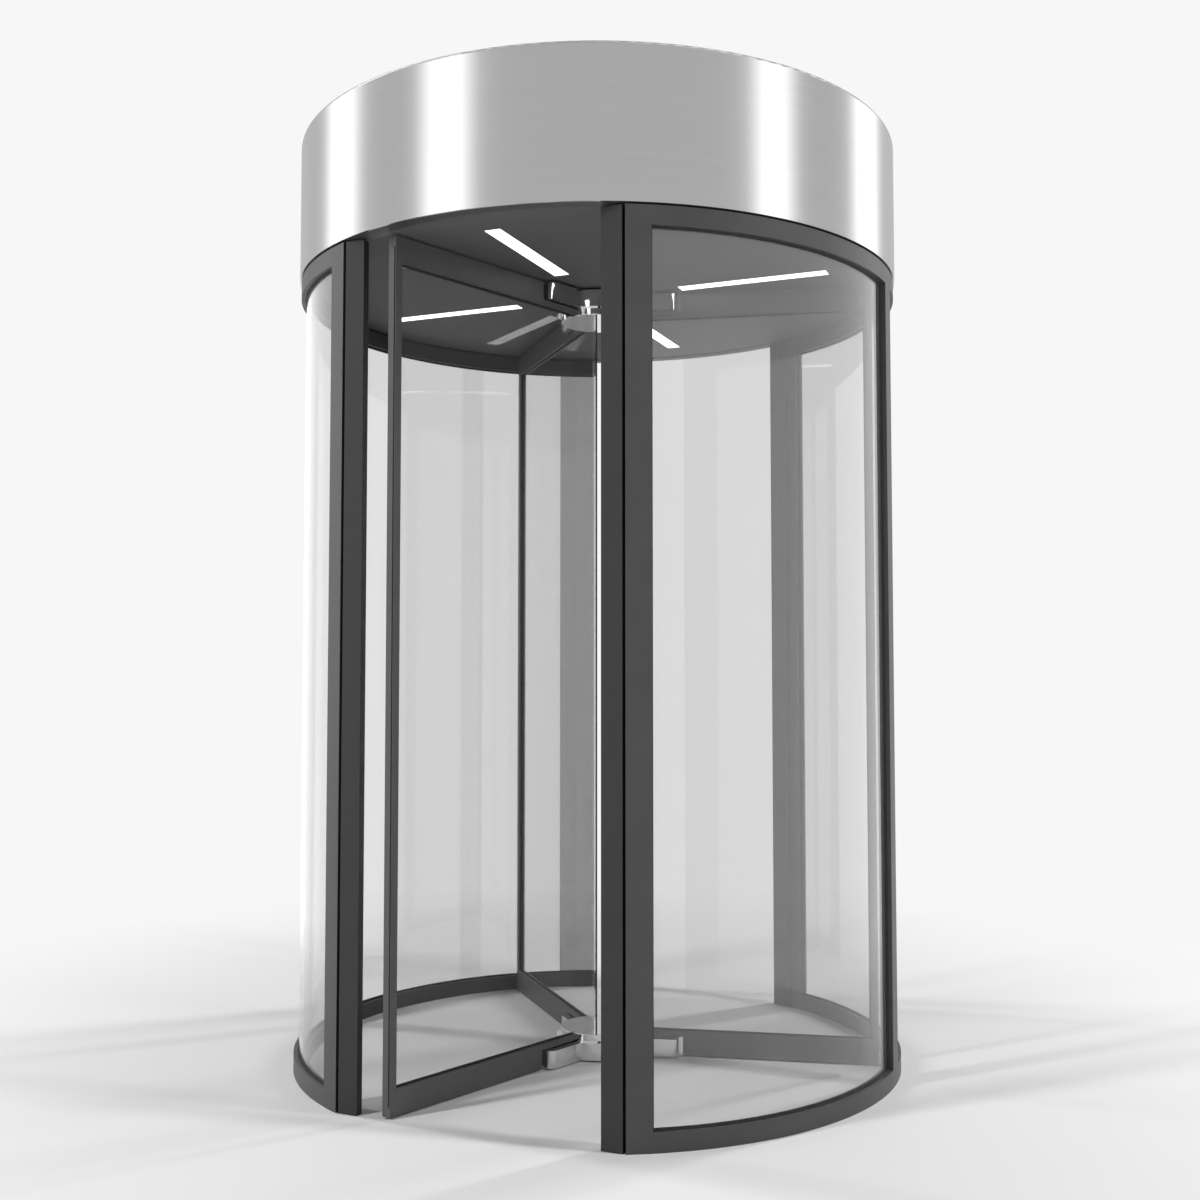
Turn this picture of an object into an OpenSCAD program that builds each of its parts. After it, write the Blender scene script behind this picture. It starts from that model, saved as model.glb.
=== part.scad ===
// Revolving door: curved glazed walls under a deep round canopy, and a rotor of three
// glazed wings clamped between polished hub blocks, on a floor pivot and a ceiling bearing.
// Millimetres, Z up. The origin is at floor level on the rotor's axis. One passage faces
// -Y and the other +Y; the walls stand on the +X and -X sides.

/* [Overall] */
// outer radius of the canopy
canopy_r = 1000; // [850:1:1800]
// height from the floor to the top of the canopy
total_h = 3000; // [2500:1:3800]
// height of the canopy's face
canopy_h = 450; // [150:1:900]

/* [Canopy] */
// thickness of the canopy's sheet skin
skin_t = 6; // [2:0.5:10]
// rounding of the canopy's top edge
edge_r = 10; // [7:0.5:20]
// width of the flange folded in at the canopy's top
flange_w = 40; // [20:1:80]
// thickness of the roof board under the flange
roof_t = 12; // [6:1:25]
// height of the head ring inside the canopy's lower edge
ring_h = 14; // [14:1:30]
// thickness of the ceiling panel
ceiling_t = 10; // [8:1:20]
// step from the head ring up to the ceiling
ceiling_step = 3; // [1:0.5:6]

/* [Ceiling lights] */
// distance from the axis to a light's inner end
light_in = 300; // [200:1:400]
// distance from a light's outer end to the walls' inner faces
light_gap = 150; // [50:1:300]
// width of a light's diffuser
light_w = 50; // [20:1:80]
// depth the diffuser is let into the ceiling
light_t = 5; // [3:0.5:7]

/* [Walls] */
// inset of the wall frames from the canopy's face
wall_inset = 5; // [0:1:30]
// radial depth of the wall frames
wall_d = 45; // [40:1:70]
// height of the base rails
base_h = 54; // [30:1:150]
// height of the top rails
head_h = 55; // [30:1:150]
// dark gap between the wall frames and the canopy
shadow_gap = 5; // [3:1:15]
// half the clear width of a passage, between its jambs
opening_half = 378; // [300:1:600]
// width of a jamb's flat face
jamb_w = 62; // [30:1:120]
// how far a jamb stands inside the wall's inner face
jamb_back = 10; // [0:1:15]
// width of the groove between a jamb and its post
groove_w = 9; // [4:1:20]
// width of a post's curved face
post_w = 73; // [40:1:120]
// width of the mullion in the middle of a wall
mullion_w = 75; // [40:1:120]
// thickness of the curved wall glass
wall_glass_t = 12; // [8:1:16]
// depth of the glass behind the frames' outer faces
reveal = 17; // [8:1:25]
// depth the glass is let into the frames
rebate = 12; // [6:1:16]
// gap between a pane and the sides of its groove
glass_fit = 0.1; // [0.05:0.05:0.5]

/* [Wings] */
// direction of the first wing from +X
wing_turn = -108; // [-120:1:0]
// gap between a wing's stile and the walls' inner faces
wing_gap = 25; // [20:1:60]
// thickness of a wing's frame
wing_t = 32; // [24:1:60]
// width of a wing's outer stile
stile_w = 24; // [20:1:80]
// how far a wing's rails reach past the hub blocks' arms
rail_over = 22; // [16:1:90]
// gap under the rotor
floor_gap = 5; // [5:1:10]
// gap between the rotor and the head ring's underside
ceiling_gap = 5; // [5:1:10]
// thickness of the wing glass
wing_glass_t = 10; // [6:1:12]
// depth the wing glass is let into its frame
wing_rebate = 10; // [6:1:14]
// distance from the axis to the edge of a pane
pane_in = 16; // [10:1:40]
// thickness of the brush strip
brush_t = 4; // [2:0.5:6]
// distance of the brush strip's middle from the wing's leading face
brush_in = 5; // [3:0.5:12]
// how far the brush strip stands out of the stile
brush_out = 2; // [1:0.5:15]
// clearance between an arm's tip and the end of the rail's notch
notch_clear = 13; // [8:1:30]
// gap between an arm and the rail over it
notch_gap = 3; // [1:1:5]

/* [Hubs and bearings] */
// radius of the hub block's round body
hub_r = 140; // [130:1:200]
// distance from the axis to an arm's tip
arm_tip = 277; // [220:1:450]
// width of an arm
arm_w = 90; // [50:1:150]
// rounding of the corners of an arm's end
arm_edge = 22; // [5:1:24]
// height of a hub block
hub_h = 56; // [40:1:58]
// radius of the disc that clamps the panes
disc_r = 127; // [80:1:128]
// thickness of the disc
disc_t = 25; // [16:1:30]
// rounding of a disc's outer edge
disc_edge = 2; // [1:0.5:3]
// radius of the floor pivot's plate
plate_r = 60; // [40:1:90]
// radius of the floor pivot's pin
pin_r = 15; // [10:1:25]
// radius of the top spindle
spindle_r = 25; // [15:1:40]
// radius of the bearing housing over the ceiling
housing_r = 60; // [40:1:90]
// height of the bearing housing
housing_h = 40; // [25:1:80]
// radial running clearance at the pivot and the spindle
play = 0.05; // [0.02:0.01:0.1]

/* [Hidden] */
// sides in a quarter of a circle, one for each step of canopy radius
side_step = 36;
quarter_sides = ceil(canopy_r / side_step);
$fn = 4 * quarter_sides;

// canopy levels
ring_z = total_h - canopy_h;
ceiling_z = ring_z + ceiling_step;
roof_z = total_h - skin_t - roof_t;
shell_in = canopy_r - skin_t;

// wall radii, levels and bearings round the ring
wall_r = canopy_r - wall_inset;
wall_in = wall_r - wall_d;
glass_r = wall_r - reveal;
glass_in = glass_r - wall_glass_t;
wall_top = ring_z - shadow_gap;
head_z = wall_top - head_h;
post_x = opening_half + jamb_w + groove_w;
corner_a = acos(post_x / wall_r);
post_a = corner_a - post_w / wall_r * 180 / PI;
mullion_a = mullion_w / 2 / wall_r * 180 / PI;
rebate_a = rebate / wall_r * 180 / PI;
glass_a = (rebate - glass_fit) / wall_r * 180 / PI;
light_out = wall_in - light_gap;
jamb_y = sqrt(pow(wall_r, 2) - pow(post_x, 2));
// inset of the webs behind the dark gaps and grooves, and where that inset meets a groove
web_d = 16;
web_y = sqrt(pow(wall_in + web_d, 2) - pow(post_x, 2));

// rotor levels
rotor_z = floor_gap;
rotor_top = ring_z - ceiling_gap;
rotor_mid = (rotor_z + rotor_top) / 2;
hub_top = rotor_z + hub_h;
disc_top = hub_top + disc_t;
wing_rail_h = hub_h + rail_over;
rail_top = rotor_z + wing_rail_h;
wing_r = wall_in - wing_gap;
stile_in = wing_r - stile_w;
notch_r = arm_tip + notch_clear;
glass_z = rail_top - wing_rebate;
glass_slot_h = 2 * (rotor_mid - glass_z);
glass_h = glass_slot_h - glass_fit;
// depth the brush is let into the stile, and its distance from the stile's ends
brush_root = 8;
brush_end = 30;
brush_off = wing_t / 2 - brush_in;
brush_z = rotor_z + brush_end;
brush_h = 2 * (rotor_mid - brush_z);

// pivot and bearing levels, with the free space left round the fixed pieces
plate_t = floor_gap - 1;
plate_clear = 10;
plate_pocket = 5;
pin_top = hub_top - 20;
pin_clear = 6;
housing_z = ceiling_z + ceiling_t;
ceiling_clear = 6;
spindle_over = 10;
spindle_top = housing_z + housing_h + spindle_over;

// overrun of a cutting shape past the face it cuts, as a length and as an angle
over = 1;
over_a = 3;
// width of the block that squares off a post's side
post_cut = 200;

// ---- shared shapes ----

// a piece of a ring between two bearings
module sector(r0, r1, z0, z1, a0, a1) {
  rotate([0, 0, a0]) rotate_extrude(angle = a1 - a0)
    translate([r0, z0]) square([r1 - r0, z1 - z0]);
}

// a full ring
module ring(r0, r1, z0, z1) {
  rotate_extrude()
    translate([r0, z0]) square([r1 - r0, z1 - z0]);
}

// places a right-hand or front piece on the other side
module on_left() {
  mirror([1, 0, 0]) children();
}

module at_rear() {
  mirror([0, 1, 0]) children();
}

// turns a piece to one of the three wings
module at_wing(i) {
  rotate([0, 0, wing_turn + 120 * i]) children();
}

// reflects a piece about the rotor's middle height
module at_top() {
  translate([0, 0, 2 * rotor_mid]) mirror([0, 0, 1]) children();
}

// ---- canopy ----

// rolled sheet skin with a rounded top edge and a flange folded inwards
module canopy_fascia() color([0.72, 0.72, 0.74]) rotate_extrude() difference() {
  union() {
    translate([canopy_r - flange_w, ring_z]) square([flange_w, canopy_h - edge_r]);
    translate([canopy_r - flange_w, total_h - edge_r - over])
      square([flange_w - edge_r, edge_r + over]);
    translate([canopy_r - edge_r, total_h - edge_r]) circle(edge_r);
  }
  translate([canopy_r - flange_w - over, ring_z - over])
    square([flange_w - skin_t + over, canopy_h - skin_t + over]);
}

module canopy_roof() color([0.35, 0.35, 0.36])
  translate([0, 0, roof_z]) cylinder(r = shell_in, h = roof_t);

// flat ring that closes the canopy's lower edge over the walls
module head_ring() color([0.3, 0.3, 0.31])
  ring(wall_in, shell_in, ring_z, ring_z + ring_h);

module light_bar(z0, h) {
  for (i = [0:3]) rotate([0, 0, 90 * i])
    translate([light_in, -light_w / 2, z0]) cube([light_out - light_in, light_w, h]);
}

module ceiling_panel() color([0.28, 0.28, 0.29]) difference() {
  translate([0, 0, ceiling_z]) cylinder(r = wall_in, h = ceiling_t);
  light_bar(ceiling_z - over, light_t + over);
  translate([0, 0, ceiling_z - over])
    cylinder(r = spindle_r + ceiling_clear, h = ceiling_t + 2 * over);
}

module ceiling_lights() color([1, 1, 1]) light_bar(ceiling_z, light_t);

// bearing housing on top of the ceiling panel
module top_bearing() color([0.5, 0.5, 0.52]) difference() {
  translate([0, 0, housing_z]) cylinder(r = housing_r, h = housing_h);
  translate([0, 0, housing_z - over])
    cylinder(r = spindle_r + play, h = housing_h + 2 * over);
}

// floor plate with the pin the rotor turns on
module floor_bearing() color([0.5, 0.5, 0.52]) union() {
  cylinder(r = plate_r, h = plate_t);
  cylinder(r = pin_r, h = pin_top);
}

// ---- walls, drawn for the right-hand wall and its front corner ----

// groove for the curved glass, a little wider than the pane
module glass_slot(z0, z1, a0, a1) {
  sector(glass_in - glass_fit, glass_r + glass_fit, z0, z1, a0, a1);
}

// narrow web that joins the frames to the head ring across the dark gap
module neck(a0, a1) {
  sector(wall_in + web_d, wall_r - web_d, wall_top - over, ring_z, a0, a1);
}

module wall_base_rail() color([0.25, 0.25, 0.26]) difference() {
  sector(wall_in, wall_r, 0, base_h, -post_a, post_a);
  glass_slot(base_h - rebate, base_h + over, -post_a - over_a, post_a + over_a);
}

module wall_top_rail() color([0.25, 0.25, 0.26]) difference() {
  union() {
    sector(wall_in, wall_r, head_z, wall_top, -post_a, post_a);
    neck(-post_a, post_a);
  }
  glass_slot(head_z - over, head_z + rebate, -post_a - over_a, post_a + over_a);
}

module wall_post() color([0.25, 0.25, 0.26]) difference() {
  union() {
    sector(wall_in, wall_r, 0, wall_top, -corner_a - over_a, -post_a);
    neck(-corner_a - over_a, -post_a);
  }
  translate([post_x - post_cut, -canopy_r, -over]) cube([post_cut, canopy_r, total_h]);
  glass_slot(base_h - rebate, head_z + rebate, -post_a - rebate_a, -post_a + over_a);
}

// flat-faced jamb, with the web at the bottom of the groove beside the post
module wall_jamb() color([0.22, 0.22, 0.23]) difference() {
  union() {
    translate([opening_half, -jamb_y, 0]) cube([jamb_w, jamb_y, wall_top]);
    translate([opening_half + jamb_w - over, -web_y, 0])
      cube([groove_w + over, jamb_y / 2, wall_top]);
    translate([opening_half + web_d, -jamb_y + web_d / 2, wall_top - over])
      cube([jamb_w - 2 * web_d, jamb_y / 2, shadow_gap + over]);
  }
  translate([0, 0, -over]) cylinder(r = wall_in - jamb_back, h = total_h);
}

module wall_mullion() color([0.25, 0.25, 0.26]) difference() {
  sector(wall_in, wall_r, base_h, head_z, -mullion_a, mullion_a);
  glass_slot(base_h - over, head_z + over, mullion_a - rebate_a, mullion_a + over_a);
  glass_slot(base_h - over, head_z + over, -mullion_a - over_a, rebate_a - mullion_a);
}

module wall_glass() color([0.75, 0.8, 0.82, 0.35])
  sector(glass_in, glass_r, base_h - rebate, head_z + rebate - glass_fit,
         -post_a - glass_a, glass_a - mullion_a);

module right_base_rail() wall_base_rail();
module right_top_rail() wall_top_rail();
module right_front_post() wall_post();
module right_rear_post() at_rear() wall_post();
module right_front_jamb() wall_jamb();
module right_rear_jamb() at_rear() wall_jamb();
module right_mullion() wall_mullion();
module right_front_glass() wall_glass();
module right_rear_glass() at_rear() wall_glass();
module left_base_rail() on_left() wall_base_rail();
module left_top_rail() on_left() wall_top_rail();
module left_front_post() on_left() wall_post();
module left_rear_post() on_left() at_rear() wall_post();
module left_front_jamb() on_left() wall_jamb();
module left_rear_jamb() on_left() at_rear() wall_jamb();
module left_mullion() on_left() wall_mullion();
module left_front_glass() on_left() wall_glass();
module left_rear_glass() on_left() at_rear() wall_glass();

// ---- rotor, each wing drawn along +X ----

// block with a round body and three arms whose ends have rounded corners
module hub_outline() {
  circle(hub_r);
  for (i = [0:2]) rotate(wing_turn + 120 * i) {
    translate([0, -arm_w / 2]) square([arm_tip - arm_edge, arm_w]);
    translate([0, arm_edge - arm_w / 2]) square([arm_tip, arm_w - 2 * arm_edge]);
    for (y = [arm_edge - arm_w / 2, arm_w / 2 - arm_edge])
      translate([arm_tip - arm_edge, y]) circle(arm_edge);
  }
}

module hub_solid() color([0.85, 0.85, 0.86])
  translate([0, 0, rotor_z]) linear_extrude(hub_h) hub_outline();

// disc with a softly rounded upper edge
module disc_solid() color([0.85, 0.85, 0.86]) rotate_extrude() union() {
  translate([0, hub_top]) square([disc_r, disc_t - disc_edge]);
  translate([0, hub_top]) square([disc_r - disc_edge, disc_t]);
  translate([disc_r - disc_edge, disc_top - disc_edge]) circle(disc_edge);
}

module floor_hub() difference() {
  hub_solid();
  translate([0, 0, rotor_z - over])
    cylinder(r = plate_r + plate_clear, h = plate_pocket + over);
  translate([0, 0, rotor_z]) cylinder(r = pin_r + play, h = pin_top - rotor_z + pin_clear);
}

module ceiling_hub() at_top() hub_solid();
module bottom_disc() disc_solid();
module top_disc() at_top() disc_solid();

module top_spindle() color([0.5, 0.5, 0.52])
  translate([0, 0, rotor_top]) cylinder(r = spindle_r, h = spindle_top - rotor_top);

// outer upright with a groove for the glass and one for the brush
module wing_stile() color([0.25, 0.25, 0.26]) difference() {
  translate([stile_in, -wing_t / 2, rotor_z])
    cube([stile_w, wing_t, rotor_top - rotor_z]);
  translate([stile_in - over, -wing_glass_t / 2 - glass_fit, glass_z])
    cube([wing_rebate + over, wing_glass_t + 2 * glass_fit, glass_slot_h]);
  translate([wing_r - brush_root, brush_off - brush_t / 2, brush_z])
    cube([brush_root + over, brush_t, brush_h]);
}

module wing_brush() color([0.05, 0.05, 0.05])
  translate([wing_r - brush_root, brush_off - brush_t / 2, brush_z])
    cube([brush_root + brush_out, brush_t, brush_h]);

// rail notched to sit over the hub's arm, its inner end bearing on the disc's rim
module wing_rail() color([0.25, 0.25, 0.26]) difference() {
  translate([0, -wing_t / 2, rotor_z]) cube([stile_in, wing_t, wing_rail_h]);
  translate([0, 0, rotor_z - over]) cylinder(r = disc_r, h = wing_rail_h + 2 * over);
  translate([0, -wing_t, rotor_z - over])
    cube([notch_r, 2 * wing_t, hub_h + notch_gap + over]);
  translate([0, -wing_glass_t / 2 - glass_fit, glass_z])
    cube([stile_in + over, wing_glass_t + 2 * glass_fit, wing_rebate + over]);
}

// pane let into the rails and the stile, its inner corners standing on the discs
module wing_glass() color([0.75, 0.8, 0.82, 0.35]) difference() {
  translate([pane_in, -wing_glass_t / 2, glass_z])
    cube([stile_in + wing_rebate - pane_in, wing_glass_t, glass_h]);
  translate([0, 0, rotor_z]) cylinder(r = disc_r, h = disc_top - rotor_z);
  at_top() translate([0, 0, rotor_z]) cylinder(r = disc_r, h = disc_top - rotor_z);
}

module wing_1_stile() at_wing(0) wing_stile();
module wing_1_top_rail() at_top() at_wing(0) wing_rail();
module wing_1_bottom_rail() at_wing(0) wing_rail();
module wing_1_glass() at_wing(0) wing_glass();
module wing_1_brush() at_wing(0) wing_brush();
module wing_2_stile() at_wing(1) wing_stile();
module wing_2_top_rail() at_top() at_wing(1) wing_rail();
module wing_2_bottom_rail() at_wing(1) wing_rail();
module wing_2_glass() at_wing(1) wing_glass();
module wing_2_brush() at_wing(1) wing_brush();
module wing_3_stile() at_wing(2) wing_stile();
module wing_3_top_rail() at_top() at_wing(2) wing_rail();
module wing_3_bottom_rail() at_wing(2) wing_rail();
module wing_3_glass() at_wing(2) wing_glass();
module wing_3_brush() at_wing(2) wing_brush();

canopy_fascia();
canopy_roof();
head_ring();
ceiling_panel();
ceiling_lights();
top_bearing();
floor_bearing();
right_base_rail();
right_top_rail();
right_front_post();
right_rear_post();
right_front_jamb();
right_rear_jamb();
right_mullion();
right_front_glass();
right_rear_glass();
left_base_rail();
left_top_rail();
left_front_post();
left_rear_post();
left_front_jamb();
left_rear_jamb();
left_mullion();
left_front_glass();
left_rear_glass();
floor_hub();
ceiling_hub();
bottom_disc();
top_disc();
top_spindle();
wing_1_stile();
wing_1_top_rail();
wing_1_bottom_rail();
wing_1_glass();
wing_1_brush();
wing_2_stile();
wing_2_top_rail();
wing_2_bottom_rail();
wing_2_glass();
wing_2_brush();
wing_3_stile();
wing_3_top_rail();
wing_3_bottom_rail();
wing_3_glass();
wing_3_brush();
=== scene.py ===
"""Looks of the revolving door: materials, seals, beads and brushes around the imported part."""
import math

import bmesh
import bpy
from mathutils import Matrix, Vector


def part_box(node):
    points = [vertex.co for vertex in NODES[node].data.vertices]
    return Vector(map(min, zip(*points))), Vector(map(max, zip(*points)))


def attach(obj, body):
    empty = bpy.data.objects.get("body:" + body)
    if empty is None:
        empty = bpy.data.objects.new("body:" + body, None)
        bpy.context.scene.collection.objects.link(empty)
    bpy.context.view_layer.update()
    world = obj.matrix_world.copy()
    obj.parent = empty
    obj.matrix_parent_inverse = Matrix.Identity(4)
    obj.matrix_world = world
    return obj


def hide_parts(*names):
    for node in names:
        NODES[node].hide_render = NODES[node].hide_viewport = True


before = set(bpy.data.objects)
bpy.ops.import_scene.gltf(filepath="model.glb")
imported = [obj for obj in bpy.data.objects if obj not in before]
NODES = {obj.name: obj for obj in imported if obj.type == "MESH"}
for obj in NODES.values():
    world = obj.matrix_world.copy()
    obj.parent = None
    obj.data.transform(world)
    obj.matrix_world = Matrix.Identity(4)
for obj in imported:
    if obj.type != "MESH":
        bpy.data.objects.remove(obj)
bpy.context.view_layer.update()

# metres and degrees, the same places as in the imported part
WING_TURN = -108.0
WALL_R = 0.995
GLASS_R = WALL_R - 0.017
GLASS_IN = GLASS_R - 0.012
POST_W = 0.073
MULLION_W = 0.075
WING_GLASS = 0.005
WING_HALF = 0.016
WING_R = 0.925
STILE_IN = 0.901
DISC_R = 0.127
UP = Vector((0.0, 0.0, 1.0))


# ---------------------------------------------------------------- node helpers

def new_material(name):
    mat = bpy.data.materials.new(name)
    mat.use_nodes = True
    nt = mat.node_tree
    nt.nodes.clear()
    out = nt.nodes.new("ShaderNodeOutputMaterial")
    return mat, nt, out


def node(nt, kind, **settings):
    n = nt.nodes.new(kind)
    for key, value in settings.items():
        setattr(n, key, value)
    return n


def noise(nt, coords, scale, detail=3.0, rough=0.5):
    n = node(nt, "ShaderNodeTexNoise")
    n.inputs["Scale"].default_value = scale
    n.inputs["Detail"].default_value = detail
    n.inputs["Roughness"].default_value = rough
    nt.links.new(coords, n.inputs["Vector"])
    return n.outputs["Fac"]


def object_coords(nt, stretch=(1.0, 1.0, 1.0)):
    tc = node(nt, "ShaderNodeTexCoord")
    mp = node(nt, "ShaderNodeMapping")
    mp.inputs["Scale"].default_value = stretch
    nt.links.new(tc.outputs["Object"], mp.inputs["Vector"])
    return mp.outputs["Vector"]


def remap(nt, value, lo, hi, a=0.0, b=1.0):
    n = node(nt, "ShaderNodeMapRange", clamp=True)
    n.inputs["From Min"].default_value = a
    n.inputs["From Max"].default_value = b
    n.inputs["To Min"].default_value = lo
    n.inputs["To Max"].default_value = hi
    nt.links.new(value, n.inputs["Value"])
    return n.outputs["Result"]


def blend_colour(nt, fac, a, b):
    n = node(nt, "ShaderNodeMix", data_type="RGBA")
    n.inputs[6].default_value = (*a, 1.0)
    n.inputs[7].default_value = (*b, 1.0)
    nt.links.new(fac, n.inputs[0])
    return n.outputs[2]


def bump(nt, height, strength, distance):
    n = node(nt, "ShaderNodeBump")
    n.inputs["Strength"].default_value = strength
    n.inputs["Distance"].default_value = distance
    nt.links.new(height, n.inputs["Height"])
    return n.outputs["Normal"]


def principled(nt, out, **values):
    p = node(nt, "ShaderNodeBsdfPrincipled")
    for key, value in values.items():
        p.inputs[key.replace("_", " ")].default_value = value
    nt.links.new(p.outputs["BSDF"], out.inputs["Surface"])
    return p


# ---------------------------------------------------------------- materials

def brushed_steel(name):
    """Stainless sheet rolled into a drum, its grain running round it."""
    mat, nt, out = new_material(name)
    grain_xyz = object_coords(nt, (1.4, 1.4, 420.0))
    grain = noise(nt, grain_xyz, 1.0, 5.0, 0.65)
    streak_xyz = object_coords(nt, (0.9, 0.9, 95.0))
    streak = noise(nt, streak_xyz, 1.0, 3.0, 0.6)
    cloud = noise(nt, object_coords(nt), 3.0, 3.0)
    p = principled(nt, out, Metallic=1.0, Roughness=0.24, Anisotropic=0.7,
                   Anisotropic_Rotation=0.25)
    tone = blend_colour(nt, remap(nt, streak, 0.0, 1.0, 0.3, 0.7),
                        (0.614, 0.614, 0.615), (0.628, 0.628, 0.629))
    nt.links.new(tone, p.inputs["Base Color"])
    mixed = node(nt, "ShaderNodeMath", operation="MULTIPLY_ADD")
    nt.links.new(cloud, mixed.inputs[0])
    mixed.inputs[1].default_value = 0.35
    nt.links.new(grain, mixed.inputs[2])
    nt.links.new(remap(nt, mixed.outputs[0], 0.21, 0.27, 0.4, 0.95), p.inputs["Roughness"])
    nt.links.new(bump(nt, grain, 0.012, 0.0002), p.inputs["Normal"])
    tangent = node(nt, "ShaderNodeTangent", direction_type="RADIAL", axis="Z")
    nt.links.new(tangent.outputs["Tangent"], p.inputs["Tangent"])
    return mat


def powder_coat(name, dark, light, rough=0.46, grain=1100.0, depth=0.22):
    """Fine-textured powder coat."""
    mat, nt, out = new_material(name)
    xyz = object_coords(nt)
    fine = noise(nt, xyz, grain, 2.0, 0.5)
    mottle = noise(nt, xyz, 7.0, 4.0, 0.6)
    p = principled(nt, out, Roughness=rough)
    nt.links.new(blend_colour(nt, remap(nt, mottle, 0.0, 1.0, 0.3, 0.7), dark, light),
                 p.inputs["Base Color"])
    nt.links.new(remap(nt, mottle, rough - 0.04, rough + 0.06, 0.3, 0.7), p.inputs["Roughness"])
    nt.links.new(bump(nt, fine, depth, 0.0006), p.inputs["Normal"])
    return mat


def polished_chrome(name):
    mat, nt, out = new_material(name)
    xyz = object_coords(nt)
    smudge = noise(nt, xyz, 16.0, 4.0, 0.6)
    fine = noise(nt, xyz, 160.0, 3.0, 0.6)
    p = principled(nt, out, Metallic=1.0, Roughness=0.06)
    nt.links.new(blend_colour(nt, smudge, (0.74, 0.74, 0.75), (0.80, 0.80, 0.81)),
                 p.inputs["Base Color"])
    nt.links.new(remap(nt, smudge, 0.04, 0.13, 0.35, 0.75), p.inputs["Roughness"])
    nt.links.new(bump(nt, fine, 0.03, 0.0003), p.inputs["Normal"])
    return mat


def turned_steel(name):
    mat, nt, out = new_material(name)
    rings = noise(nt, object_coords(nt, (1.0, 1.0, 900.0)), 1.0, 3.0)
    cloud = noise(nt, object_coords(nt), 22.0, 3.0)
    p = principled(nt, out, Metallic=1.0, Roughness=0.3)
    nt.links.new(blend_colour(nt, cloud, (0.42, 0.42, 0.43), (0.52, 0.52, 0.53)),
                 p.inputs["Base Color"])
    nt.links.new(remap(nt, rings, 0.24, 0.40, 0.3, 0.7), p.inputs["Roughness"])
    nt.links.new(bump(nt, rings, 0.08, 0.0004), p.inputs["Normal"])
    return mat


def clear_glass(name, tint, rough):
    """Toughened safety glass. Lamp and bounced light pass straight through the pane."""
    mat, nt, out = new_material(name)
    xyz = object_coords(nt)
    film = noise(nt, xyz, 5.0, 5.0, 0.65)
    p = principled(nt, out, IOR=1.5, Transmission_Weight=0.975, Roughness=rough)
    nt.links.new(blend_colour(nt, remap(nt, film, 0.0, 1.0, 0.35, 0.65),
                              tint, tuple(min(1.0, c + 0.006) for c in tint)),
                 p.inputs["Base Color"])
    clear = node(nt, "ShaderNodeBsdfTransparent")
    clear.inputs["Color"].default_value = (0.80, 0.80, 0.80, 1.0)
    path = node(nt, "ShaderNodeLightPath")
    either = node(nt, "ShaderNodeMath", operation="MAXIMUM")
    nt.links.new(path.outputs["Is Shadow Ray"], either.inputs[0])
    nt.links.new(path.outputs["Is Diffuse Ray"], either.inputs[1])
    mix = node(nt, "ShaderNodeMixShader")
    nt.links.new(either.outputs[0], mix.inputs["Fac"])
    nt.links.new(p.outputs["BSDF"], mix.inputs[1])
    nt.links.new(clear.outputs["BSDF"], mix.inputs[2])
    nt.links.new(mix.outputs["Shader"], out.inputs["Surface"])
    return mat


def rubber(name):
    mat, nt, out = new_material(name)
    xyz = object_coords(nt)
    fine = noise(nt, xyz, 420.0, 3.0)
    cloud = noise(nt, xyz, 18.0, 3.0)
    p = principled(nt, out, Roughness=0.7)
    nt.links.new(blend_colour(nt, cloud, (0.010, 0.010, 0.011), (0.024, 0.024, 0.025)),
                 p.inputs["Base Color"])
    nt.links.new(remap(nt, cloud, 0.62, 0.82, 0.3, 0.7), p.inputs["Roughness"])
    nt.links.new(bump(nt, fine, 0.25, 0.0004), p.inputs["Normal"])
    return mat


def nylon_pile(name):
    """Dense upright bristles."""
    mat, nt, out = new_material(name)
    hair = noise(nt, object_coords(nt, (90.0, 90.0, 1500.0)), 1.0, 2.0)
    p = principled(nt, out, Roughness=0.85)
    nt.links.new(blend_colour(nt, remap(nt, hair, 0.0, 1.0, 0.3, 0.7),
                              (0.006, 0.006, 0.006), (0.035, 0.035, 0.036)),
                 p.inputs["Base Color"])
    nt.links.new(bump(nt, hair, 0.5, 0.0008), p.inputs["Normal"])
    return mat


def lit_diffuser(name, strength):
    """Opal strip with the light source behind it."""
    mat, nt, out = new_material(name)
    haze = noise(nt, object_coords(nt), 9.0, 2.0)
    p = principled(nt, out, Roughness=0.5)
    tone = blend_colour(nt, haze, (0.93, 0.93, 0.93), (1.0, 1.0, 1.0))
    nt.links.new(tone, p.inputs["Base Color"])
    nt.links.new(tone, p.inputs["Emission Color"])
    p.inputs["Emission Strength"].default_value = strength
    return mat


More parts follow.
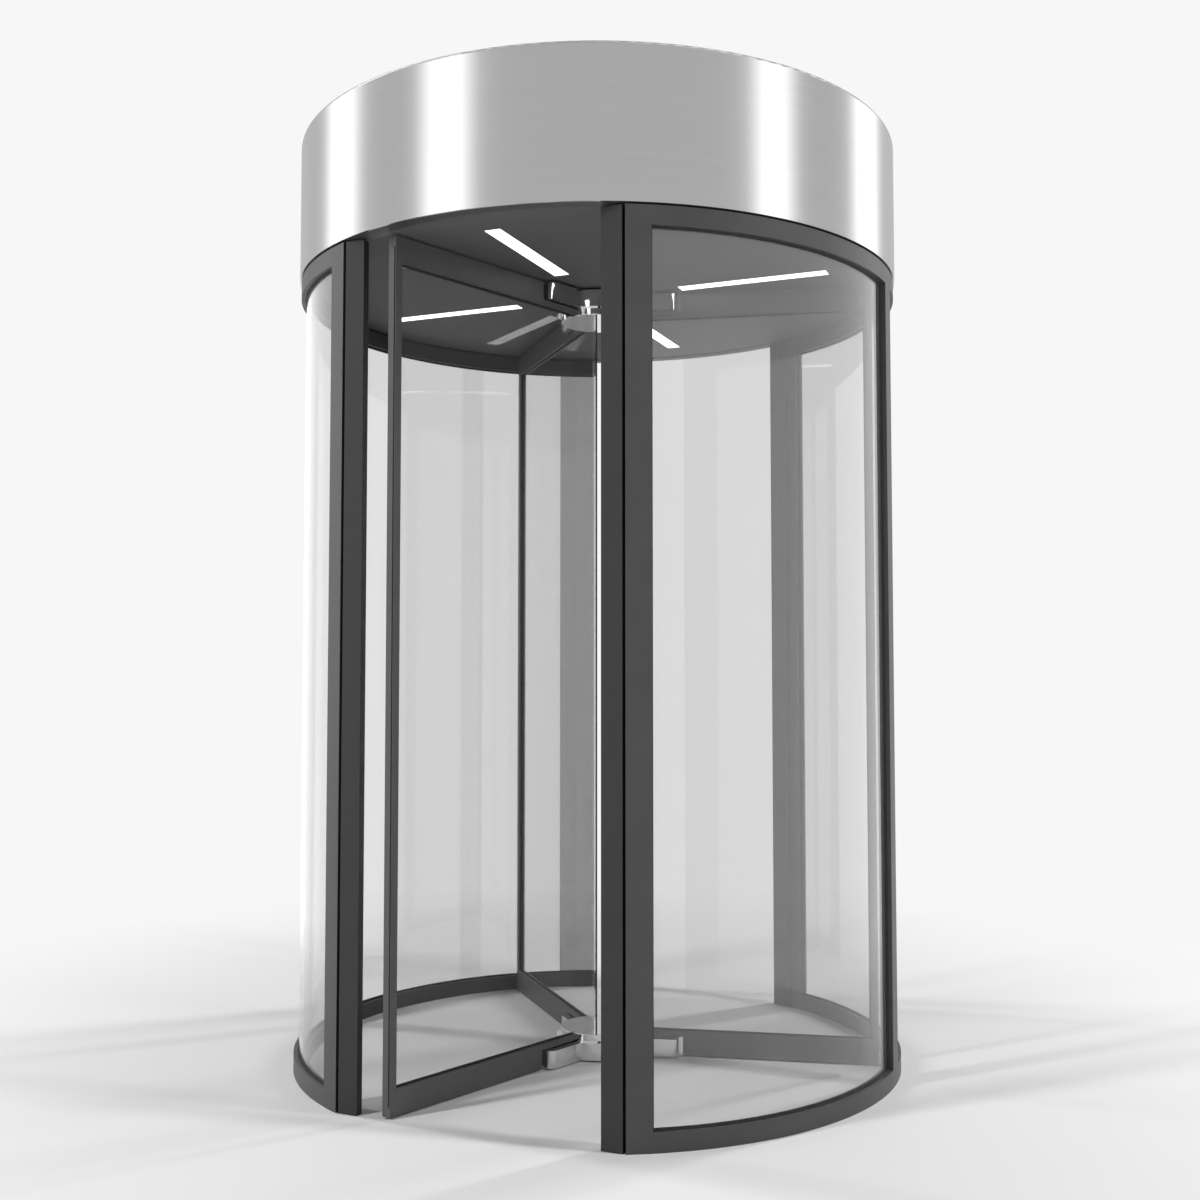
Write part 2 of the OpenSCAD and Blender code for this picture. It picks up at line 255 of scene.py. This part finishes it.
M = {
    "canopy_steel": brushed_steel("canopy_steel"),
    "roof_paint": powder_coat("roof_paint", (0.100, 0.100, 0.103), (0.125, 0.125, 0.128),
                              0.6, 700.0),
    "ring_paint": powder_coat("ring_paint", (0.040, 0.040, 0.042), (0.052, 0.052, 0.054), 0.5),
    "ceiling_paint": powder_coat("ceiling_paint", (0.095, 0.095, 0.097), (0.112, 0.112, 0.114),
                                 0.62, 900.0, 0.12),
    "light_diffuser": lit_diffuser("light_diffuser", 2.2),
    "bearing_steel": turned_steel("bearing_steel"),
    "frame_paint": powder_coat("frame_paint", (0.048, 0.048, 0.050), (0.061, 0.061, 0.063)),
    "wing_paint": powder_coat("wing_paint", (0.078, 0.078, 0.080), (0.094, 0.094, 0.096)),
    "jamb_paint": powder_coat("jamb_paint", (0.017, 0.017, 0.018), (0.024, 0.024, 0.025)),
    "wall_glass": clear_glass("wall_glass", (0.845, 0.846, 0.846), 0.0),
    "hub_chrome": polished_chrome("hub_chrome"),
    "wing_glass": clear_glass("wing_glass", (0.845, 0.846, 0.846), 0.0),
    "brush_black": nylon_pile("brush_black"),
}
GASKET = rubber("gasket_rubber")
BEAD = M["wing_paint"]

SLOT_OF = {
    "canopy_fascia": "canopy_steel", "canopy_roof": "roof_paint", "head_ring": "ring_paint",
    "ceiling_panel": "ceiling_paint", "ceiling_lights": "light_diffuser",
    "top_bearing": "bearing_steel", "floor_bearing": "bearing_steel",
    "top_spindle": "bearing_steel",
    "floor_hub": "hub_chrome", "ceiling_hub": "hub_chrome",
    "bottom_disc": "hub_chrome", "top_disc": "hub_chrome",
}


def slot_of(name):
    if name in SLOT_OF:
        return SLOT_OF[name]
    if name.startswith("wing_"):
        if name.endswith("glass"):
            return "wing_glass"
        return "brush_black" if name.endswith("brush") else "frame_paint"
    if name.endswith("glass"):
        return "wall_glass"
    return "jamb_paint" if name.endswith("jamb") else "frame_paint"


def material_of(name):
    slot = slot_of(name)
    return M["wing_paint"] if slot == "frame_paint" and name.startswith("wing_") else M[slot]


for name, ob in NODES.items():
    ob.data.materials.clear()
    ob.data.materials.append(material_of(name))


# ---------------------------------------------------------------- piece helpers

def make_piece(name, bm, mat, body, smooth_deg=35.0):
    bmesh.ops.recalc_face_normals(bm, faces=bm.faces[:])
    me = bpy.data.meshes.new(name)
    bm.to_mesh(me)
    bm.free()
    me.shade_smooth()
    me.set_sharp_from_angle(angle=math.radians(smooth_deg))
    ob = bpy.data.objects.new(name, me)
    bpy.context.scene.collection.objects.link(ob)
    me.materials.append(mat)
    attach(ob, body)
    return ob


def sweep(bm, path, profile):
    """Skins a closed profile along frames, each a function of (a, b), and caps both ends."""
    rings = []
    for place in path:
        rings.append([bm.verts.new(place(a, b)) for a, b in profile])
    n = len(profile)
    for r0, r1 in zip(rings, rings[1:]):
        for i in range(n):
            j = (i + 1) % n
            bm.faces.new((r0[i], r0[j], r1[j], r1[i]))
    bm.faces.new(rings[0])
    bm.faces.new(list(reversed(rings[-1])))


def arc_frames(a0, a1, steps, radial, up, r0, z0):
    """Frames along an arc about Z: profile a runs outwards (times radial), b runs up (times up)."""
    frames = []
    for i in range(steps + 1):
        t = math.radians(a0 + (a1 - a0) * i / steps)
        c, s = math.cos(t), math.sin(t)

        def place(a, b, c=c, s=s):
            r = r0 + radial * a
            return Vector((r * c, r * s, z0 + up * b))

        frames.append(place)
    return frames


def line_frames(start, end, u, v):
    """Frames at the two ends of a straight line: profile a runs along u and b along v."""
    start, end, u, v = Vector(start), Vector(end), Vector(u), Vector(v)
    return [lambda a, b, o=o: o + u * a + v * b for o in (start, end)]


def lip(height, thick, round_r=0.0006):
    """Wedge profile of a glazing seal: a runs away from the glass, b up the glass."""
    return [(0.0, 0.0), (thick, 0.0), (thick, height * 0.35),
            (thick - round_r, height * 0.6), (thick * 0.45, height - round_r),
            (thick * 0.22, height), (0.0, height)]


def bead(height, thick, chamfer=0.0008):
    return [(0.0, 0.0), (thick, 0.0), (thick, height - chamfer),
            (thick - chamfer, height), (0.0, height)]


# ---------------------------------------------------------------- wall glazing seals

def angle_on(r, length):
    return math.degrees(length / r)


BASE_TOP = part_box("right_base_rail")[1].z
HEAD_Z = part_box("right_mullion")[1].z
POST_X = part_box("right_front_post")[0].x
CORNER_A = math.degrees(math.acos(POST_X / WALL_R))
POST_A = CORNER_A - angle_on(WALL_R, POST_W)
MULLION_A = angle_on(WALL_R, MULLION_W / 2)
ARC_STEPS = 64
SEAL_H = 0.005
SEAL_T = 0.0045


def wall_seals(side, end, outer):
    """One seal all round a wall pane, on its outer or its inner face."""
    sx = 1.0 if side == "right" else -1.0
    sy = -1.0 if end == "front" else 1.0
    r0 = GLASS_R if outer else GLASS_IN
    radial = 1.0 if outer else -1.0
    flip = Matrix.Diagonal((sx, -sy, 1.0))
    bm = bmesh.new()
    a0, a1 = -POST_A, -MULLION_A
    sweep(bm, arc_frames(a0, a1, ARC_STEPS, radial, 1.0, r0, BASE_TOP), lip(SEAL_H, SEAL_T))
    sweep(bm, arc_frames(a0, a1, ARC_STEPS, radial, -1.0, r0, HEAD_Z), lip(SEAL_H, SEAL_T))
    for a, along in ((a0, 1.0), (a1, -1.0)):
        t = math.radians(a)
        rad = Vector((math.cos(t), math.sin(t), 0.0))
        tan = Vector((-math.sin(t), math.cos(t), 0.0)) * along
        lo = rad * r0 + UP * BASE_TOP
        hi = rad * r0 + UP * HEAD_Z
        sweep(bm, line_frames(lo, hi, rad * radial, tan), lip(SEAL_H, SEAL_T))
    for v in bm.verts:
        v.co = flip @ v.co
    face = "outer" if outer else "inner"
    return make_piece(f"{side}_{end}_pane_seal_{face}", bm, GASKET, "enclosure")


for side in ("right", "left"):
    for end in ("front", "rear"):
        for outer in (True, False):
            wall_seals(side, end, outer)


# ---------------------------------------------------------------- wing glazing

RAIL_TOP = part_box("wing_1_bottom_rail")[1].z
RAIL_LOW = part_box("wing_1_top_rail")[0].z
WING_SEAL_H = 0.0045
WING_SEAL_T = 0.004
BEAD_H = 0.0085
BEAD_T = 0.0009
BEAD_CHAMFER = 0.0005
BEAD_BACK = 0.0004


def wing_frame(i):
    t = math.radians(WING_TURN + 120.0 * i)
    u = Vector((math.cos(t), math.sin(t), 0.0))
    return u, Vector((-u.y, u.x, 0.0))


def wing_seals(i, side):
    """Seal along the rails and the stile, on one face of the pane."""
    u, v = wing_frame(i)
    off = v * side
    z = UP
    bm = bmesh.new()
    face = off * WING_GLASS
    start = u * (DISC_R + 0.001)
    end = u * STILE_IN
    sweep(bm, line_frames(start + face + z * RAIL_TOP, end + face + z * RAIL_TOP, off, z),
          lip(WING_SEAL_H, WING_SEAL_T))
    sweep(bm, line_frames(start + face + z * RAIL_LOW, end + face + z * RAIL_LOW, off, -z),
          lip(WING_SEAL_H, WING_SEAL_T))
    sweep(bm, line_frames(end + face + z * RAIL_TOP, end + face + z * RAIL_LOW, off, -u),
          lip(WING_SEAL_H, WING_SEAL_T))
    which = "lead" if side > 0 else "trail"
    return make_piece(f"wing_{i + 1}_pane_seal_{which}", bm, GASKET, "rotor")


def wing_beads(i, side):
    """Snap-in glazing beads along the glass edge of both rails."""
    u, v = wing_frame(i)
    off = v * side
    z = UP
    bm = bmesh.new()
    face = off * WING_HALF
    start = u * (DISC_R + 0.004)
    end = u * (STILE_IN - 0.0005)
    for level, up in ((RAIL_TOP, -z), (RAIL_LOW, z)):
        o = face + z * level + up * BEAD_BACK
        sweep(bm, line_frames(start + o, end + o, off, up), bead(BEAD_H, BEAD_T, BEAD_CHAMFER))
    which = "lead" if side > 0 else "trail"
    return make_piece(f"wing_{i + 1}_glazing_bead_{which}", bm, BEAD, "rotor")


for i in range(3):
    for side in (1.0, -1.0):
        wing_seals(i, side)
        wing_beads(i, side)


# ---------------------------------------------------------------- brushes

BRUSH_OFF = 0.011
BRUSH_ROOT = WING_R - 0.008
BRUSH_TIP = WING_R + 0.002
TUFT_START = BRUSH_ROOT + 0.006
TUFT_PITCH = 0.0042


def tuft(x, y):
    """Corners of a tuft's section, across the wing and up."""
    return ((-x, -y), (x, -y), (x, y), (-x, y))


def brush_strip(i):
    """Brush in the stile's groove: a backing strip with a row of bristle tufts."""
    u, v = wing_frame(i)
    name = f"wing_{i + 1}_brush"
    lo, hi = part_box(name)
    z0, z1 = lo.z, hi.z
    mid = v * BRUSH_OFF
    foot = u * BRUSH_ROOT + mid
    bm = bmesh.new()
    z = UP
    back = [(-0.0019, 0.0), (0.0019, 0.0), (0.0019, 0.0055),
            (0.0012, 0.0065), (-0.0012, 0.0065), (-0.0019, 0.0055)]
    sweep(bm, line_frames(foot + z * z0, foot + z * z1, v, u), back)
    count = int((z1 - z0) / TUFT_PITCH)
    for k in range(count):
        zc = z0 + TUFT_PITCH * (k + 0.5)
        reach = BRUSH_TIP - 0.0004 * (0.5 + 0.5 * math.sin(k * 2.399))
        lean = 0.0003 * math.sin(k * 1.7)
        a = [u * TUFT_START + mid + v * x + z * (zc + y) for x, y in tuft(0.0012, 0.0017)]
        b = [u * reach + mid + v * (x + lean) + z * (zc + y) for x, y in tuft(0.0015, 0.0019)]
        va = [bm.verts.new(p) for p in a]
        vb = [bm.verts.new(p) for p in b]
        for q in range(4):
            w = (q + 1) % 4
            bm.faces.new((va[q], va[w], vb[w], vb[q]))
        bm.faces.new(list(reversed(va)))
        bm.faces.new(vb)
    ob = make_piece(f"wing_{i + 1}_brush_pile", bm, M["brush_black"], "rotor", 20.0)
    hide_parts(name)
    return ob


for i in range(3):
    brush_strip(i)


# ---------------------------------------------------------------- stage, light and camera

ROOM_GREY = 0.62     # what metal and paint reflect between the lights
PAPER = 0.93         # white that the camera sees
GLASS_ROOM = 1.5     # what the smooth glass reflects
WORLD_FILL = 0.11    # all-round light on matt surfaces
BAND_GAIN = 1.5      # brightness a light's band adds to ROOM_GREY
FLOOR_NEAR = 1.45    # radius where the lit floor starts to fade
FLOOR_FAR = 3.6      # radius where only the white is left
FLOOR_SIZE = 60.0
LIGHT_DISTANCE = 7.0
LIGHT_HEIGHT = 3.6
LIGHT_CENTRE_Z = 4.4
LIGHT_AIM = Vector((0.0, 0.0, 1.2))


def floor_material():
    """Matt floor that fades to the paper white away from the door."""
    mat, nt, out = new_material("studio_floor")
    tc = node(nt, "ShaderNodeTexCoord")
    dist = node(nt, "ShaderNodeVectorMath", operation="LENGTH")
    nt.links.new(tc.outputs["Object"], dist.inputs[0])
    fade = node(nt, "ShaderNodeMapRange", interpolation_type="SMOOTHSTEP", clamp=True)
    fade.inputs["From Min"].default_value = FLOOR_NEAR
    fade.inputs["From Max"].default_value = FLOOR_FAR
    nt.links.new(dist.outputs["Value"], fade.inputs["Value"])
    p = node(nt, "ShaderNodeBsdfPrincipled")
    p.inputs["Base Color"].default_value = (0.83, 0.83, 0.83, 1.0)
    p.inputs["Roughness"].default_value = 0.55
    p.inputs["Specular IOR Level"].default_value = 0.25
    path = node(nt, "ShaderNodeLightPath")
    direct = node(nt, "ShaderNodeMath", operation="SUBTRACT")
    direct.inputs[0].default_value = 1.0
    nt.links.new(path.outputs["Is Transmission Ray"], direct.inputs[1])
    mirrored = node(nt, "ShaderNodeMath", operation="MULTIPLY")
    nt.links.new(path.outputs["Is Singular Ray"], mirrored.inputs[0])
    nt.links.new(direct.outputs[0], mirrored.inputs[1])
    far = node(nt, "ShaderNodeEmission")
    nt.links.new(remap(nt, mirrored.outputs[0], PAPER, GLASS_ROOM), far.inputs["Strength"])
    mix = node(nt, "ShaderNodeMixShader")
    nt.links.new(fade.outputs["Result"], mix.inputs["Fac"])
    nt.links.new(p.outputs["BSDF"], mix.inputs[1])
    nt.links.new(far.outputs["Emission"], mix.inputs[2])
    nt.links.new(mix.outputs["Shader"], out.inputs["Surface"])
    return mat


def make_floor():
    bm = bmesh.new()
    bmesh.ops.create_grid(bm, x_segments=8, y_segments=8, size=FLOOR_SIZE)
    me = bpy.data.meshes.new("studio_floor")
    bm.to_mesh(me)
    bm.free()
    ob = bpy.data.objects.new("studio_floor", me)
    bpy.context.scene.collection.objects.link(ob)
    me.materials.append(floor_material())


make_floor()


SOFTBOXES = (
    # name, azimuth, half width of its reflection band, width, radiance
    ("softbox_left", -177.5, 14.0, 0.6, 40.0),
    ("softbox_front_left", -124.5, 13.0, 0.6, 50.0),
    ("softbox_right", 0.0, 11.0, 0.6, 48.0),
    ("softbox_rear_right", 53.0, 14.0, 0.6, 48.0),
)


def grey_background(nt, value, strength=1.0):
    n = node(nt, "ShaderNodeBackground")
    n.inputs["Color"].default_value = (value, value, value, 1.0)
    n.inputs["Strength"].default_value = strength
    return n


def room_with_bands(nt, direction):
    """Grey room with the softboxes as soft upright bands, for rough reflections."""
    flat = node(nt, "ShaderNodeVectorMath", operation="MULTIPLY")
    nt.links.new(direction, flat.inputs[0])
    flat.inputs[1].default_value = (1.0, 1.0, 0.0)
    unit = node(nt, "ShaderNodeVectorMath", operation="NORMALIZE")
    nt.links.new(flat.outputs["Vector"], unit.inputs[0])
    total = None
    for _, azimuth, spread, _, _ in SOFTBOXES:
        t = math.radians(azimuth)
        dot = node(nt, "ShaderNodeVectorMath", operation="DOT_PRODUCT")
        nt.links.new(unit.outputs["Vector"], dot.inputs[0])
        dot.inputs[1].default_value = (math.cos(t), math.sin(t), 0.0)
        band = node(nt, "ShaderNodeMapRange", interpolation_type="SMOOTHSTEP", clamp=True)
        band.inputs["From Min"].default_value = math.cos(math.radians(spread))
        band.inputs["From Max"].default_value = math.cos(math.radians(2.0))
        band.inputs["To Max"].default_value = BAND_GAIN
        nt.links.new(dot.outputs["Value"], band.inputs["Value"])
        if total is None:
            base = node(nt, "ShaderNodeMath", operation="ADD")
            base.inputs[1].default_value = ROOM_GREY
            nt.links.new(band.outputs["Result"], base.inputs[0])
            total = base.outputs[0]
        else:
            add = node(nt, "ShaderNodeMath", operation="ADD")
            nt.links.new(total, add.inputs[0])
            nt.links.new(band.outputs["Result"], add.inputs[1])
            total = add.outputs[0]
    n = node(nt, "ShaderNodeBackground")
    nt.links.new(total, n.inputs["Color"])
    return n


def mix_by(nt, fac, a, b):
    n = node(nt, "ShaderNodeMixShader")
    nt.links.new(fac, n.inputs["Fac"])
    nt.links.new(a, n.inputs[1])
    nt.links.new(b, n.inputs[2])
    return n.outputs["Shader"]


def build_world():
    """White to the camera and through glass, a dim fill on matt surfaces, a room in reflections."""
    world = bpy.data.worlds.new("studio")
    bpy.context.scene.world = world
    world.use_nodes = True
    nt = world.node_tree
    nt.nodes.clear()
    out = node(nt, "ShaderNodeOutputWorld")
    tc = node(nt, "ShaderNodeTexCoord")
    path = node(nt, "ShaderNodeLightPath")
    lit = grey_background(nt, 1.0, WORLD_FILL)
    mirror = grey_background(nt, GLASS_ROOM)
    bands = room_with_bands(nt, tc.outputs["Generated"])
    seen = grey_background(nt, PAPER)
    gloss = mix_by(nt, path.outputs["Is Singular Ray"], bands.outputs["Background"],
                   mirror.outputs["Background"])
    either = node(nt, "ShaderNodeMath", operation="MAXIMUM")
    nt.links.new(path.outputs["Is Camera Ray"], either.inputs[0])
    nt.links.new(path.outputs["Is Transmission Ray"], either.inputs[1])
    first = mix_by(nt, path.outputs["Is Glossy Ray"], lit.outputs["Background"], gloss)
    final = mix_by(nt, either.outputs[0], first, seen.outputs["Background"])
    nt.links.new(final, out.inputs["Surface"])


build_world()


def softbox(name, azimuth, distance, width, height, centre_z, radiance):
    """Tall light standing outside the door, turned towards its axis."""
    light = bpy.data.lights.new(name, "AREA")
    light.shape = "RECTANGLE"
    light.size = width
    light.size_y = height
    light.energy = radiance * math.pi * width * height
    ob = bpy.data.objects.new(name, light)
    bpy.context.scene.collection.objects.link(ob)
    t = math.radians(azimuth)
    ob.location = (distance * math.cos(t), distance * math.sin(t), centre_z)
    aim = LIGHT_AIM - ob.location
    ob.rotation_euler = aim.to_track_quat("-Z", "Y").to_euler()
    ob.visible_camera = False
    ob.visible_transmission = False
    ob.visible_glossy = False
    return ob


for name, azimuth, _, width, radiance in SOFTBOXES:
    softbox(name, azimuth, LIGHT_DISTANCE, width, LIGHT_HEIGHT, LIGHT_CENTRE_Z, radiance)


def make_camera():
    cam = bpy.data.cameras.new("camera")
    cam.lens = 41.366
    cam.sensor_width = 36.0
    ob = bpy.data.objects.new("camera", cam)
    bpy.context.scene.collection.objects.link(ob)
    ob.location = (1.79496, -4.33343, 1.27859)
    forward = Vector((-0.3805, 0.9235, 0.0498)).normalized()
    ob.rotation_euler = forward.to_track_quat("-Z", "Y").to_euler()
    bpy.context.scene.camera = ob


make_camera()
bpy.context.scene.view_settings.view_transform = "Standard"
bpy.context.scene.view_settings.look = "None"
bpy.context.scene.cycles.max_bounces = 16
bpy.context.scene.cycles.transmission_bounces = 14
bpy.context.scene.cycles.glossy_bounces = 5
bpy.context.scene.cycles.diffuse_bounces = 4
bpy.context.scene.cycles.transparent_max_bounces = 16
